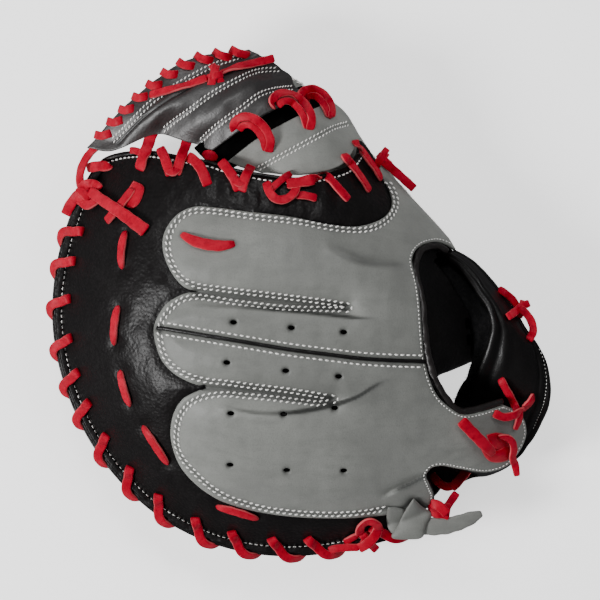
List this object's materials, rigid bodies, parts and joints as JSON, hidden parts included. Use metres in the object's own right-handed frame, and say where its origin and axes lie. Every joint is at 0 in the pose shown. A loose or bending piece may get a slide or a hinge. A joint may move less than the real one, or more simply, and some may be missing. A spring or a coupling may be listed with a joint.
{
  "type": "catcher mitt",
  "caption": "Padded leather catcher mitt with a round pocket, a laced web between thumb and index finger, a lobed hand back, a wrist strap and lace ties, lying palm down.",
  "frame": {"origin": "centre of the bounding box's underside, on the plane that the mitt rests on", "axes": "+X from the finger tips to the wrist, +Y to the thumb side, +Z out of the back of the hand"},
  "size_m": [0.327, 0.3356, 0.118],
  "materials": {
    "grey_leather": "smooth grey leather with slightly darker folds",
    "black_leather": "pebbled black leather",
    "lining_cloth": "dark soft lining",
    "red_lace": "red rawhide lace with darker edges"
  },
  "bodies": {
    "root": {"hand_back": "grey_leather", "thumb_back": "grey_leather", "web_lower": "grey_leather", "heel_tie": "grey_leather", "finger_back": "black_leather", "palm": "black_leather", "web_upper": "black_leather", "rim_welt": "black_leather", "wrist_binding": "black_leather", "wrist_strap": "black_leather", "strap_lining": "lining_cloth", "rim_lace_01": "red_lace", "rim_lace_02": "red_lace", "rim_lace_03": "red_lace", "rim_lace_04": "red_lace", "rim_lace_05": "red_lace", "rim_lace_06": "red_lace", "rim_lace_07": "red_lace", "rim_lace_08": "red_lace", "rim_lace_09": "red_lace", "rim_lace_10": "red_lace", "rim_lace_11": "red_lace", "rim_lace_12": "red_lace", "rim_lace_13": "red_lace", "rim_lace_14": "red_lace", "pad_stitch_1": "red_lace", "pad_stitch_2": "red_lace", "pad_stitch_3": "red_lace", "pad_stitch_4": "red_lace", "pad_stitch_5": "red_lace", "lobe_stitch": "red_lace", "gap_lace_1": "red_lace", "gap_lace_2": "red_lace", "gap_lace_3": "red_lace", "gap_lace_4": "red_lace", "web_loop_1": "red_lace", "web_loop_2": "red_lace", "web_loop_3": "red_lace", "crotch_lace_1": "red_lace", "crotch_lace_2": "red_lace", "crotch_knot": "red_lace", "web_knot": "red_lace", "tip_knot": "red_lace", "tip_stub": "red_lace", "strap_tie_upper": "red_lace", "strap_tie_lower": "red_lace", "tab_knot": "red_lace", "heel_lace": "red_lace", "heel_knot": "red_lace", "rim_knot": "red_lace", "web_lace_01": "red_lace", "web_lace_02": "red_lace", "web_lace_03": "red_lace", "web_lace_04": "red_lace", "web_lace_05": "red_lace", "web_lace_06": "red_lace", "web_lace_07": "red_lace", "web_lace_08": "red_lace", "web_lace_09": "red_lace", "web_lace_10": "red_lace"}
  },
  "joints": []
}
